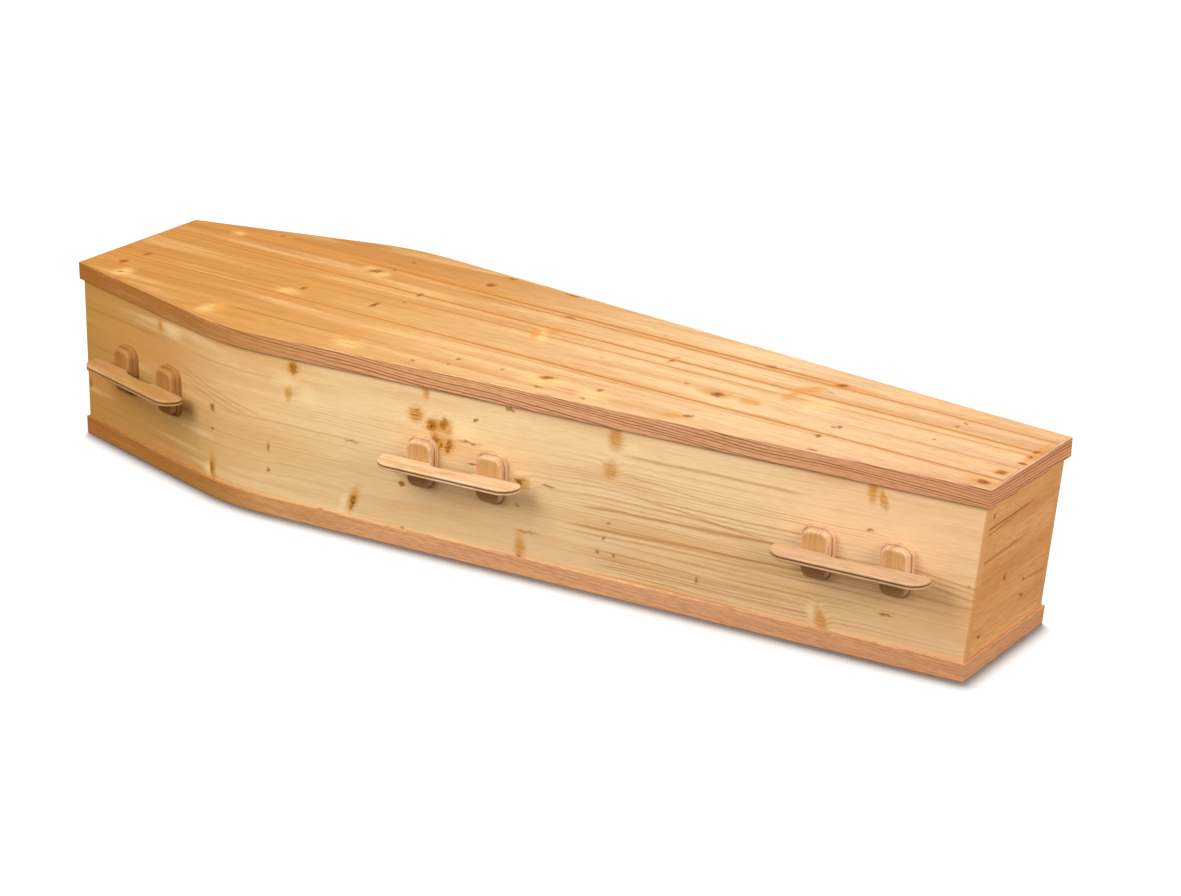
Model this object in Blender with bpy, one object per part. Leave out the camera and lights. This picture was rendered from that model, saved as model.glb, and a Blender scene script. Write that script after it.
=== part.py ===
"""Wooden coffin: a shouldered pine box with bent sides, a flat lid that lifts off and six fixed wooden handles.

Metres, +Z up. The origin is under the middle of the base. +X runs from the head to the foot, and the
long side at -Y is the right-hand one of a body that lies face up.
"""
import math

import bmesh
import bpy
from mathutils import Vector

# Body, over the outer faces of the sides and ends
BODY_LENGTH = 1.937
HEAD_WIDTH = 0.329
SHOULDER_WIDTH = 0.565       # where the two straight stretches of a side would meet, before the bend
FOOT_WIDTH = 0.278
SHOULDER_FROM_HEAD = 0.457
SHOULDER_RADIUS = 0.490      # of the bend, on the outer face
WALL_HEIGHT = 0.314
SIDE_THICKNESS = 0.018
END_THICKNESS = 0.018
FOOT_RAKE = 0.026            # how far the foot board's top stands out beyond its bottom
CORNER_ROUND = 0.0045        # of the upright outer corners

# Lid and base
BASE_BOARD_THICKNESS = 0.018
LID_BOARD_THICKNESS = 0.018
LID_LATH_HEIGHT = 0.0345
LID_OVERHANG = 0.0065        # from the body's outer face to the lid lath's outer face
LID_CLEARANCE = 0.0008       # between the lid lath and the body, so that the lid lifts off
BASE_LATH_HEIGHT = 0.0345
BASE_LATH_THICKNESS = 0.0045

# Handles
HANDLE_RISE = 0.127          # from the underside of the coffin to the bottom of the blocks
HANDLE_STATIONS = (("head", 0.2215), ("foot", 0.494), ("foot", 1.265))  # stretch, distance along it from its start
BLOCK_SPACING = 0.1425
BLOCK_WIDTH = 0.059
BLOCK_HEIGHT = 0.095
BLOCK_DEPTH = 0.021
BLOCK_CORNER_RADIUS = 0.020
BLOCK_PLATE_THICKNESS = 0.009
BLOCK_STEP = 0.004           # the body of the block stands this far inside its plate
BLOCK_ROUND_WIDTH = 0.0074   # the rounded edge of the block's face, across the face
BLOCK_ROUND_DROP = 0.0056    # and down its side
BLOCK_PLATE_ARRIS = 0.0008
BAR_LENGTH = 0.286
BAR_DEPTH = 0.045
BAR_THICKNESS = 0.0115
BAR_RISE = 0.056             # from the bottom of the blocks to the top of the bar
BAR_FRONT_RADIUS = 0.033
BAR_BACK_RADIUS = 0.011
BAR_SCOOP = 0.009            # how deep the finger scoop between the blocks is
BAR_GROOVE_DEPTH = 0.0022    # of the groove along the middle of its edge
BAR_GROOVE_WIDTH = 0.0026
BAR_ARRIS = 0.0018

GAP = 0.0003                 # between the faces of pieces that touch
SMOOTH_BELOW = 35            # degrees between faces, above which the edge stays sharp
SHOULDER_SEGMENTS = 12
CORNER_SEGMENTS = 4
SCOOP_SEGMENTS = 8

PINE = (0.80, 0.58, 0.32)
LATH_WOOD = (0.50, 0.24, 0.11)
HANDLE_WOOD = (0.62, 0.40, 0.24)


def clear_scene():
    for thing in list(bpy.data.objects):
        bpy.data.objects.remove(thing, do_unlink=True)


def make_material(name, colour, roughness):
    material = bpy.data.materials.new(name)
    material.use_nodes = True
    shader = material.node_tree.nodes["Principled BSDF"]
    shader.inputs["Base Color"].default_value = (*colour, 1.0)
    shader.inputs["Roughness"].default_value = roughness
    shader.inputs["Metallic"].default_value = 0.0
    return material


def make_object(name, vertices, faces, colour, roughness):
    """One closed solid from its points and faces, with its normals turned outwards."""
    mesh = bpy.data.meshes.new(name)
    mesh.from_pydata([tuple(v) for v in vertices], [], faces)
    shape = bmesh.new()
    shape.from_mesh(mesh)
    bmesh.ops.recalc_face_normals(shape, faces=shape.faces)
    shape.to_mesh(mesh)
    shape.free()
    mesh.shade_smooth()
    mesh.set_sharp_from_angle(angle=math.radians(SMOOTH_BELOW))
    thing = bpy.data.objects.new(name, mesh)
    thing.data.materials.append(make_material(name, colour, roughness))
    bpy.context.collection.objects.link(thing)
    return thing


# Heights
BASE_TOP = BASE_BOARD_THICKNESS
WALL_LOW = BASE_TOP + GAP
WALL_TOP = BASE_TOP + WALL_HEIGHT
LID_LOW = WALL_TOP + GAP
LID_TOP = LID_LOW + LID_BOARD_THICKNESS

# Plan of the right-hand outer face, as corners before the bend, and turned to y > 0
HEAD_X = -BODY_LENGTH / 2
FOOT_X = BODY_LENGTH / 2
HEAD_CORNER = Vector((HEAD_X, HEAD_WIDTH / 2))
SHOULDER_CORNER = Vector((HEAD_X + SHOULDER_FROM_HEAD, SHOULDER_WIDTH / 2))
FOOT_CORNER = Vector((FOOT_X, FOOT_WIDTH / 2))
HEAD_STRETCH = (SHOULDER_CORNER - HEAD_CORNER).normalized()
FOOT_STRETCH = (FOOT_CORNER - SHOULDER_CORNER).normalized()


def arc(centre, radius, first, last, segments):
    """Points on a circle from the angle first to the angle last, in degrees, both ends included."""
    points = []
    for step in range(segments + 1):
        angle = math.radians(first + (last - first) * step / segments)
        points.append(Vector((centre[0] + radius * math.cos(angle), centre[1] + radius * math.sin(angle))))
    return points


def corner_arc(corner, first, last, radius, offset, segments):
    """The arc that rounds a corner between faces with outward normals first and last, moved out by offset."""
    turn = first.angle(last)
    centre = corner - (first + last).normalized() * radius / math.cos(turn / 2)
    start = math.degrees(math.atan2(first.y, first.x))
    return arc(centre, radius + offset, start, start - math.degrees(turn), segments)


def outward(direction):
    """Unit normal of a stretch of the side, away from the middle of the coffin."""
    return Vector((-direction.y, direction.x))


def line_width(corner, direction, offset, x):
    """Half width at x of a straight stretch moved outwards by offset."""
    start = corner + outward(direction) * offset
    return start.y + (x - start.x) * direction.y / direction.x


def head_width(x, offset):
    return line_width(HEAD_CORNER, HEAD_STRETCH, offset, x)


def foot_width(x, offset):
    return line_width(FOOT_CORNER, FOOT_STRETCH, offset, x)


def foot_plane(z):
    """x of the raked foot board's outer face at height z."""
    return FOOT_X - FOOT_RAKE * (WALL_TOP - z) / WALL_HEIGHT


def side_plan(offset, head_x, foot_x):
    """Plan of one side, moved outwards by offset, from head_x round the shoulder to foot_x."""
    shoulder = corner_arc(SHOULDER_CORNER, outward(HEAD_STRETCH), outward(FOOT_STRETCH),
                          SHOULDER_RADIUS, offset, SHOULDER_SEGMENTS)
    return [Vector((head_x, head_width(head_x, offset))), *shoulder, Vector((foot_x, foot_width(foot_x, offset)))]


def four_rail_solid(name, rails, colour, roughness):
    """A closed strip whose four long edges are the rails, lists of as many 3D points each, in order round it."""
    stations = len(rails[0])
    vertices = [rail[i] for i in range(stations) for rail in rails]
    faces = []
    for i in range(stations - 1):
        for k in range(4):
            a, b = 4 * i + k, 4 * i + (k + 1) % 4
            faces.append((a, b, b + 4, a + 4))
    faces.append((0, 1, 2, 3))
    last = 4 * (stations - 1)
    faces.append((last, last + 1, last + 2, last + 3))
    return make_object(name, vertices, faces, colour, roughness)


def rail(plan, z, side):
    """A plan line lifted to height z, on the side where y has the sign of side."""
    return [Vector((p.x, side * p.y, z)) for p in plan]


def plate_solid(name, low_plan, low_z, high_plan, high_z, colour, roughness):
    """A flat board between two outlines of as many points each, both symmetric about X."""
    low = rail(low_plan, low_z, 1) + rail(low_plan[::-1], low_z, -1)
    high = rail(high_plan, high_z, 1) + rail(high_plan[::-1], high_z, -1)
    count = len(low)
    faces = [tuple(range(count)), tuple(range(count, 2 * count))]
    for i in range(count):
        k = (i + 1) % count
        faces.append((i, k, count + k, count + i))
    return make_object(name, low + high, faces, colour, roughness)


def make_base():
    plate_solid("base_board", side_plan(0, HEAD_X, foot_plane(0)), 0,
                side_plan(0, HEAD_X, foot_plane(BASE_TOP)), BASE_TOP, PINE, 0.55)


def side_faces(foot_x):
    """Plans of a side board's outer face, with rounded corners, and of its inner face, point for point."""
    outer = side_plan(0, HEAD_X, foot_x)
    inner = side_plan(-SIDE_THICKNESS, HEAD_X, foot_x)
    head_arc = corner_arc(outer[0], Vector((-1, 0)), outward(HEAD_STRETCH), CORNER_ROUND, 0, CORNER_SEGMENTS)
    foot_arc = corner_arc(outer[-1], outward(FOOT_STRETCH), Vector((1, 0)), CORNER_ROUND, 0, CORNER_SEGMENTS)
    outer = head_arc + outer[1:-1] + foot_arc
    inner = ([Vector((p.x, head_width(p.x, -SIDE_THICKNESS))) for p in head_arc] + inner[1:-1]
             + [Vector((p.x, foot_width(p.x, -SIDE_THICKNESS))) for p in foot_arc])
    return outer, inner


def make_sides():
    for name, side in (("side_board_right", -1), ("side_board_left", 1)):
        low_outer, low_inner = side_faces(foot_plane(WALL_LOW))
        high_outer, high_inner = side_faces(foot_plane(WALL_TOP))
        rails = [rail(low_outer, WALL_LOW, side), rail(low_inner, WALL_LOW, side),
                 rail(high_inner, WALL_TOP, side), rail(high_outer, WALL_TOP, side)]
        four_rail_solid(name, rails, PINE, 0.5)


def make_ends():
    """The end boards, cut to fit between the sides."""
    inside = -SIDE_THICKNESS - GAP
    rake_cosine = math.cos(math.atan(FOOT_RAKE / WALL_HEIGHT))
    head_corners = [(HEAD_X, WALL_LOW), (HEAD_X + END_THICKNESS, WALL_LOW),
                    (HEAD_X + END_THICKNESS, WALL_TOP), (HEAD_X, WALL_TOP)]
    foot_inner = END_THICKNESS / rake_cosine
    foot_corners = [(foot_plane(WALL_LOW), WALL_LOW), (foot_plane(WALL_LOW) - foot_inner, WALL_LOW),
                    (foot_plane(WALL_TOP) - foot_inner, WALL_TOP), (foot_plane(WALL_TOP), WALL_TOP)]
    for name, corners, width in (("head_board", head_corners, head_width), ("foot_board", foot_corners, foot_width)):
        rails = [[Vector((x, side * width(x, inside), z)) for side in (-1, 1)] for x, z in corners]
        four_rail_solid(name, rails, PINE, 0.5)


def make_laths(prefix, inner, outer, low, high, head_faces, foot_faces):
    """Laths round the body, mitred where they meet.

    inner and outer are their offsets from the body's outer face. head_faces and foot_faces give, for a
    height, the x of the inner and of the outer face of the lath across that end. The mitre's gap is GAP
    square to a 45 degree cut.
    """
    mitre_gap = GAP * math.sqrt(2)
    corners = ((inner, 0, low), (outer, 1, low), (outer, 1, high), (inner, 0, high))
    for name, side in (("right", -1), ("left", 1)):
        rails = [rail(side_plan(offset, head_faces(z)[face], foot_faces(z)[face]), z, side)
                 for offset, face, z in corners]
        four_rail_solid(prefix + name, rails, LATH_WOOD, 0.55)
    for name, faces_at, width in (("head", head_faces, head_width), ("foot", foot_faces, foot_width)):
        rails = [[Vector((faces_at(z)[face], side * (width(faces_at(z)[face], offset) - mitre_gap), z))
                  for side in (-1, 1)] for offset, face, z in corners]
        four_rail_solid(prefix + name, rails, LATH_WOOD, 0.55)


def make_base_laths():
    make_laths("base_lath_", GAP, BASE_LATH_THICKNESS, 0, BASE_LATH_HEIGHT,
               lambda z: (HEAD_X - GAP, HEAD_X - BASE_LATH_THICKNESS),
               lambda z: (foot_plane(z) + GAP, foot_plane(z) + BASE_LATH_THICKNESS))


def make_lid():
    edge = LID_CLEARANCE - GAP
    plan = side_plan(edge, HEAD_X - edge, FOOT_X + edge)
    plate_solid("lid_board", plan, LID_LOW, plan, LID_TOP, PINE, 0.5)
    make_laths("lid_lath_", LID_CLEARANCE, LID_OVERHANG, LID_TOP - LID_LATH_HEIGHT, LID_TOP,
               lambda z: (HEAD_X - LID_CLEARANCE, HEAD_X - LID_OVERHANG),
               lambda z: (FOOT_X + LID_CLEARANCE, FOOT_X + LID_OVERHANG))


def stacked_loops(loops):
    """Points and faces of a solid skinned over closed loops of as many points each, capped at both ends."""
    count = len(loops[0])
    vertices = [point for loop in loops for point in loop]
    faces = [tuple(range(count)), tuple(range(len(vertices) - count, len(vertices)))]
    for level in range(len(loops) - 1):
        for i in range(count):
            k = (i + 1) % count
            faces.append((level * count + i, level * count + k, (level + 1) * count + k, (level + 1) * count + i))
    return vertices, faces


def block_loop(inset, depth):
    """Outline of a block, inset from its plate's edge, at a depth out from the wall. Local -Y is outwards."""
    half_width = BLOCK_WIDTH / 2 - inset
    half_height = BLOCK_HEIGHT / 2 - inset
    radius = BLOCK_CORNER_RADIUS - inset
    points = []
    for sx, sz, first in ((1, 1, 0), (-1, 1, 90), (-1, -1, 180), (1, -1, 270)):
        centre = (sx * (half_width - radius), sz * (half_height - radius))
        points += arc(centre, radius, first, first + 90, CORNER_SEGMENTS)
    return [Vector((p.x, -depth, p.y + BLOCK_HEIGHT / 2)) for p in points]


def block_shape():
    """Back plate, then the narrower body, then its rounded edge up to the flat face."""
    profile = [(0, GAP), (0, BLOCK_PLATE_THICKNESS - BLOCK_PLATE_ARRIS),
               (BLOCK_PLATE_ARRIS, BLOCK_PLATE_THICKNESS), (BLOCK_STEP, BLOCK_PLATE_THICKNESS)]
    for angle in (0, 30, 60, 90):
        turn = math.radians(angle)
        profile.append((BLOCK_STEP + BLOCK_ROUND_WIDTH * (1 - math.cos(turn)),
                        BLOCK_DEPTH - BLOCK_ROUND_DROP * (1 - math.sin(turn))))
    return stacked_loops([block_loop(inset, depth) for inset, depth in profile])


def bar_outline(inset):
    """Plan of the bar: x along the wall, y outwards from its back edge, which is scooped between the blocks."""
    half = BAR_LENGTH / 2 - inset
    front_radius = BAR_FRONT_RADIUS - inset
    back_radius = BAR_BACK_RADIUS - inset
    scoop_half = (BLOCK_SPACING - BLOCK_WIDTH) / 2 + BLOCK_STEP
    points = arc((half - front_radius, BAR_DEPTH - BAR_FRONT_RADIUS), front_radius, 90, 0, 2 * CORNER_SEGMENTS)
    points += arc((half - back_radius, BAR_BACK_RADIUS), back_radius, 0, -90, CORNER_SEGMENTS)
    for step in range(SCOOP_SEGMENTS + 1):
        along = 1 - 2 * step / SCOOP_SEGMENTS
        depth = BAR_SCOOP * math.sqrt(max(0.0, 1 - along ** 4))
        points.append(Vector((along * (scoop_half - inset), depth + inset)))
    points += [Vector((-p.x, p.y)) for p in points[:3 * CORNER_SEGMENTS + 2][::-1]]
    return points


def bar_shape():
    """A flat bar whose edge has two rounded ridges with a groove between them. Local -Y is outwards."""
    half = BAR_THICKNESS / 2
    groove = BAR_GROOVE_WIDTH / 2
    edge = [(BAR_ARRIS, -half), (0, -half + BAR_ARRIS), (0, -groove), (BAR_GROOVE_DEPTH, 0),
            (0, groove), (0, half - BAR_ARRIS), (BAR_ARRIS, half)]
    back = BLOCK_DEPTH + GAP
    middle = BAR_RISE - half
    return stacked_loops([[Vector((p.x, -back - p.y, middle + z)) for p in bar_outline(inset)] for inset, z in edge])


def make_handles():
    """Three handles a side. Each hangs on an empty on the wall face, whose -Y looks away from the coffin."""
    block = block_shape()
    bar = bar_shape()
    for side_name, side in (("right", -1), ("left", 1)):
        for number, (stretch, distance) in enumerate(HANDLE_STATIONS, 1):
            corner, direction = {"head": (HEAD_CORNER, HEAD_STRETCH), "foot": (SHOULDER_CORNER, FOOT_STRETCH)}[stretch]
            spot = corner + direction * distance
            angle = math.atan2(direction.y, direction.x)
            name = f"handle_{side_name}_{number}"
            seat = bpy.data.objects.new(name + "_seat", None)
            seat.location = (spot.x, side * spot.y, HANDLE_RISE)
            seat.rotation_euler = (0, 0, -angle if side < 0 else math.pi + angle)
            bpy.context.collection.objects.link(seat)
            towards_foot = -side
            pieces = [make_object(name + "_bar", *bar, HANDLE_WOOD, 0.5)]
            for end, sign in (("head", -1), ("foot", 1)):
                piece = make_object(f"{name}_block_{end}", *block, HANDLE_WOOD, 0.5)
                piece.location = (sign * towards_foot * BLOCK_SPACING / 2, 0, 0)
                pieces.append(piece)
            for piece in pieces:
                piece.parent = seat


def main():
    clear_scene()
    make_base()
    make_base_laths()
    make_sides()
    make_ends()
    make_lid()
    make_handles()


main()
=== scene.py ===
"""A shouldered pine coffin with bent sides, a flat lid and wooden handles, dressed over its solid frame."""
import math
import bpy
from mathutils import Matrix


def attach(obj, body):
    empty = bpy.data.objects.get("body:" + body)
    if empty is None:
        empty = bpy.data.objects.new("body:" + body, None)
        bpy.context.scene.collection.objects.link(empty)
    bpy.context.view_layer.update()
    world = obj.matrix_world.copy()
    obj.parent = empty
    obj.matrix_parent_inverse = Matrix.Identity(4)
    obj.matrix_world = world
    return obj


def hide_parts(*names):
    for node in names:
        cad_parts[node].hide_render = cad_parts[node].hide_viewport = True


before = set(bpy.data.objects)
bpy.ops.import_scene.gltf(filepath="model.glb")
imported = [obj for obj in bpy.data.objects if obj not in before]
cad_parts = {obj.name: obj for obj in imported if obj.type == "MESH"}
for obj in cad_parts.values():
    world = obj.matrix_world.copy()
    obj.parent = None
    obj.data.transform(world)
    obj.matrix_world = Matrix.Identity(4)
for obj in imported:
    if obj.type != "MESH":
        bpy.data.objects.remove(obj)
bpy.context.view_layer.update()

from types import SimpleNamespace

import bmesh
import bpy
import numpy as np
from mathutils import Matrix, Vector

# Sizes in metres, as the solid frame has them. +X runs from the head to the foot, and -Y is the near side.
BODY_LENGTH = 1.937
HEAD_WIDTH = 0.329
SHOULDER_WIDTH = 0.565
FOOT_WIDTH = 0.278
SHOULDER_FROM_HEAD = 0.457
SHOULDER_RADIUS = 0.490
WALL_HEIGHT = 0.314
BOARD = 0.018
FOOT_RAKE = 0.026
LATH_HEIGHT = 0.0345
LID_OVERHANG = 0.0065
LID_CLEARANCE = 0.0008
BASE_LATH = 0.0045
GAP = 0.0003
HANDLE_RISE = 0.127
HANDLE_STATIONS = (("head", 0.2215), ("foot", 0.494), ("foot", 1.265))
BLOCK_SPACING = 0.1425
BLOCK_WIDTH = 0.059
BLOCK_HEIGHT = 0.095
BLOCK_DEPTH = 0.021
BLOCK_CORNER_RADIUS = 0.020
BLOCK_PLATE = 0.009
BLOCK_STEP = 0.004
BLOCK_ROUND_WIDTH = 0.0074
BLOCK_ROUND_DROP = 0.0056
BAR_LENGTH = 0.286
BAR_DEPTH = 0.045
BAR_THICKNESS = 0.0115
BAR_RISE = 0.056
BAR_FRONT_RADIUS = 0.033
BAR_BACK_RADIUS = 0.011
BAR_SCOOP = 0.009

# Finer things that only the surface has. The solid's upright corners are rounder, at 4.5 mm.
CORNER_ROUND = 0.003
BOARD_ARRIS = 0.0012
LATH_ARRIS = 0.0013
BAR_ARRIS = 0.0022
VISIBLE_JOINT = 0.00005
ARRIS_STEPS = 4
CORNER_STEPS = 6
BEND_STEPS = 40
HEAD_STEPS = 8
FOOT_STEPS = 20
SHARP_ANGLE = math.radians(40)

BASE_TOP = BOARD
WALL_LOW = BASE_TOP + GAP
WALL_TOP = BASE_TOP + WALL_HEIGHT
LID_LOW = WALL_TOP + GAP
LID_TOP = LID_LOW + BOARD
HEAD_X = -BODY_LENGTH / 2
FOOT_X = BODY_LENGTH / 2
LID_HALF = FOOT_X + LID_OVERHANG
BAR_MIDDLE = BAR_RISE - BAR_THICKNESS / 2

HEAD_CORNER = np.array([HEAD_X, HEAD_WIDTH / 2])
SHOULDER_CORNER = np.array([HEAD_X + SHOULDER_FROM_HEAD, SHOULDER_WIDTH / 2])
FOOT_CORNER = np.array([FOOT_X, FOOT_WIDTH / 2])
HEAD_STRETCH = (SHOULDER_CORNER - HEAD_CORNER) / np.linalg.norm(SHOULDER_CORNER - HEAD_CORNER)
FOOT_STRETCH = (FOOT_CORNER - SHOULDER_CORNER) / np.linalg.norm(FOOT_CORNER - SHOULDER_CORNER)
HEAD_OUT = np.array([-HEAD_STRETCH[1], HEAD_STRETCH[0]])
FOOT_OUT = np.array([-FOOT_STRETCH[1], FOOT_STRETCH[0]])
TURN = math.acos(HEAD_STRETCH @ FOOT_STRETCH)
TANGENT = SHOULDER_RADIUS * math.tan(TURN / 2)
BEND_START = np.linalg.norm(SHOULDER_CORNER - HEAD_CORNER) - TANGENT
BEND_END = BEND_START + SHOULDER_RADIUS * TURN
BEND_CENTRE = SHOULDER_CORNER - (HEAD_OUT + FOOT_OUT) / np.linalg.norm(HEAD_OUT + FOOT_OUT) * (
    SHOULDER_RADIUS / math.cos(TURN / 2))
BEND_FIRST = math.atan2(HEAD_OUT[1], HEAD_OUT[0])
FOOT_PART = 1.4  # of a side's length, from the end of the bend, to the nearest 10 mm

# Section of a block from the wall outwards, as inset and depth: the back plate, its arris, and a fine groove
# at the foot of the raised body
BLOCK_LEVELS = (
    (0, GAP), (0, 0.006), (0, 0.0078), (0.0003, 0.0086), (0.001, BLOCK_PLATE), (0.0026, BLOCK_PLATE),
    (BLOCK_STEP - 0.0004, BLOCK_PLATE - 0.0007), (BLOCK_STEP, BLOCK_PLATE - 0.0005),
    (BLOCK_STEP, BLOCK_PLATE + 0.001), (BLOCK_STEP, BLOCK_DEPTH - BLOCK_ROUND_DROP - 0.001))
# Section of the lower half of a bar's groove, as inset and height from its middle
BAR_GROOVE = ((0, -0.0019), (0.0003, -0.0015), (0.0014, -0.0011), (0.0021, -0.0006), (0.0023, 0))


def bend(flat, side):
    """Bends straightened points (s, n, z) round the shoulder.

    s runs along the side's outer face from its head corner, n is outwards from that face and z is up. Up to
    BEND_START a point lies on a straight line, then on an arc of the shoulder's radius plus n, whose angle
    falls by s over the radius, and after BEND_END on the second straight line. side is the sign of y.
    """
    s, n, z = flat[..., 0], flat[..., 1], flat[..., 2]
    angle = BEND_FIRST - np.clip(s - BEND_START, 0, BEND_END - BEND_START) / SHOULDER_RADIUS
    out = np.stack([np.cos(angle), np.sin(angle)], -1)
    plan = BEND_CENTRE + (SHOULDER_RADIUS + n)[..., None] * out
    plan = plan + np.minimum(s - BEND_START, 0)[..., None] * HEAD_STRETCH
    plan = plan + np.maximum(s - BEND_END, 0)[..., None] * FOOT_STRETCH
    return np.stack([plan[..., 0], side * plan[..., 1], z], -1)


def head_station(x, n):
    """s of the point of the head stretch at x and n: the way back along the line from that x."""
    return (x - HEAD_CORNER[0] - HEAD_OUT[0] * n) / HEAD_STRETCH[0]


def foot_station(x, n):
    """s of the point of the foot stretch at x and n, counted from the end of the bend."""
    end = SHOULDER_CORNER + FOOT_STRETCH * TANGENT
    return BEND_END + (x - end[0] - FOOT_OUT[0] * n) / FOOT_STRETCH[0]


def foot_plane(z):
    """x of the raked foot board's outer face, which falls back in a straight line towards the base."""
    return FOOT_X - FOOT_RAKE * (WALL_TOP - z) / WALL_HEIGHT


def turned(corner, first, last, radius, steps):
    """Arc that rounds a corner: the radius swung from direction first to direction last, in degrees."""
    a, b = math.radians(first), math.radians(last)
    middle = np.array([math.cos((a + b) / 2), math.sin((a + b) / 2)])
    centre = corner - middle * radius / math.cos((a - b) / 2)
    angle = np.linspace(a, b, steps + 1)
    return centre + radius * np.stack([np.cos(angle), np.sin(angle)], -1)


def softened_square(across, up):
    """Section of a bar in shares of its width and height, 0 to 1, with quarter-ellipse corners.

    across and up are the arris as shares of the width and the height. Each corner has one more point beyond
    its curve on either side, which keeps the flats flat in smooth shading.
    """
    beyond = 1.4
    angle = np.linspace(0, math.pi / 2, ARRIS_STEPS + 1)
    curve_a = np.concatenate([[1], 1 - across + across * np.cos(angle), [1 - beyond * across]])
    curve_b = np.concatenate([[1 - beyond * up], 1 - up + up * np.sin(angle), [1]])
    right_top = np.stack([curve_a, curve_b], -1)
    left_top = np.stack([1 - curve_a, curve_b], -1)[::-1]
    left_low = np.stack([1 - curve_a, 1 - curve_b], -1)
    right_low = np.stack([curve_a, 1 - curve_b], -1)[::-1]
    return np.concatenate([right_top, left_top, left_low, right_low])


def ruled(rails, section):
    """Grid of a bar between four rails: the bilinear mix of the rails by each point of the section.

    rails holds outer low, inner low, inner high and outer high, each (stations, 3).
    """
    outer_low, inner_low, inner_high, outer_high = (rail[:, None, :] for rail in rails)
    a, b = section[None, :, :1], section[None, :, 1:]
    low = inner_low + (outer_low - inner_low) * a
    high = inner_high + (outer_high - inner_high) * a
    return low + (high - low) * b


def grid_piece(name, points, grain, material, stands_for):
    """A closed solid from a grid: it goes round along its second way and is capped at the ends of its first.

    grain gives each point's place in the straight plank that it was cut from: along the grain, across it and
    in depth.
    """
    rows, around = points.shape[:2]
    row = np.arange(rows - 1)[:, None] * around
    here = np.arange(around)[None, :]
    beside = (here + 1) % around
    quads = np.stack([row + here, row + beside, row + around + beside, row + around + here], -1)
    caps = [list(range(around)), list(range((rows - 1) * around, rows * around))]
    mesh = bpy.data.meshes.new(name)
    mesh.from_pydata(points.reshape(-1, 3).tolist(), [], quads.reshape(-1, 4).tolist() + caps)
    shape = bmesh.new()
    shape.from_mesh(mesh)
    bmesh.ops.recalc_face_normals(shape, faces=shape.faces)
    shape.to_mesh(mesh)
    shape.free()
    place = mesh.attributes.new("grain", "FLOAT_VECTOR", "POINT")
    place.data.foreach_set("vector", grain.reshape(-1).astype(np.float32))
    mesh.shade_smooth()
    mesh.set_sharp_from_angle(angle=SHARP_ANGLE)
    mesh.materials.append(material)
    piece = bpy.data.objects.new(name, mesh)
    bpy.context.scene.collection.objects.link(piece)
    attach(piece, "root")
    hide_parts(stands_for)
    return piece


def along_bend(head_s, foot_s, offset, z):
    """One rail of a piece that runs round the shoulder: its ends, and stations closest in the bend."""
    from_bend, from_head, from_foot = 0.01, 0.03, 0.06
    middle = np.concatenate([np.linspace(from_head, BEND_START - from_bend, HEAD_STEPS),
                             np.linspace(BEND_START, BEND_END, BEND_STEPS),
                             np.linspace(BEND_END + from_bend, BEND_END + FOOT_PART - from_foot, FOOT_STEPS)])
    s = np.concatenate([[head_s], middle, [foot_s]])
    return np.stack([s, np.full_like(s, offset), np.full_like(s, z)], -1)


def side_rails():
    """Rails of a side board, with its upright corners rounded.

    A corner's arc is worked out in plan and turned back into s and n. The inner rail keeps the same x as the
    arc's points, so the ends stay square to the length.
    """
    rails = []
    head_out = math.degrees(math.atan2(HEAD_OUT[1], HEAD_OUT[0]))
    foot_out = math.degrees(math.atan2(FOOT_OUT[1], FOOT_OUT[0]))
    middle = along_bend(0, 0, 0, 0)[1:-1]
    for z in (WALL_LOW, WALL_TOP):
        head_arc = turned(HEAD_CORNER, 180, head_out, CORNER_ROUND, CORNER_STEPS)
        foot_corner = bend(np.array([foot_station(foot_plane(z), 0), 0, z]), 1)[:2]
        foot_arc = turned(foot_corner, foot_out, 0, CORNER_ROUND, CORNER_STEPS)
        head_sn = np.stack([(head_arc - HEAD_CORNER) @ HEAD_STRETCH, (head_arc - HEAD_CORNER) @ HEAD_OUT], -1)
        end = SHOULDER_CORNER + FOOT_STRETCH * TANGENT
        foot_sn = np.stack([BEND_END + (foot_arc - end) @ FOOT_STRETCH, (foot_arc - end) @ FOOT_OUT], -1)
        outer = np.concatenate([head_sn, middle[:, :2], foot_sn])
        inner_s = np.concatenate([head_station(head_arc[:, 0], -BOARD), middle[:, 0],
                                  foot_station(foot_arc[:, 0], -BOARD)])
        inner = np.stack([inner_s, np.full(len(outer), -BOARD)], -1)
        height = np.full((len(outer), 1), z)
        rails.append((np.hstack([outer, height]), np.hstack([inner, height])))
    (outer_low, inner_low), (outer_high, inner_high) = rails
    return [outer_low, inner_low, inner_high, outer_high]


def straightened_grain(flat, side):
    """Grain of a piece that follows the side: along s, up and outwards. The far one is turned end for end."""
    along = flat[..., 0] if side < 0 else BEND_END + FOOT_PART - flat[..., 0]
    return np.stack([along, flat[..., 2], flat[..., 1]], -1)


def make_sides(material):
    section = softened_square(BOARD_ARRIS / BOARD, BOARD_ARRIS / WALL_HEIGHT)
    flat = ruled(side_rails(), section)
    for name, side in (("right", -1), ("left", 1)):
        grid_piece(f"planed_side_{name}", bend(flat, side), straightened_grain(flat, side), material,
                   f"side_board_{name}")


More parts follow.
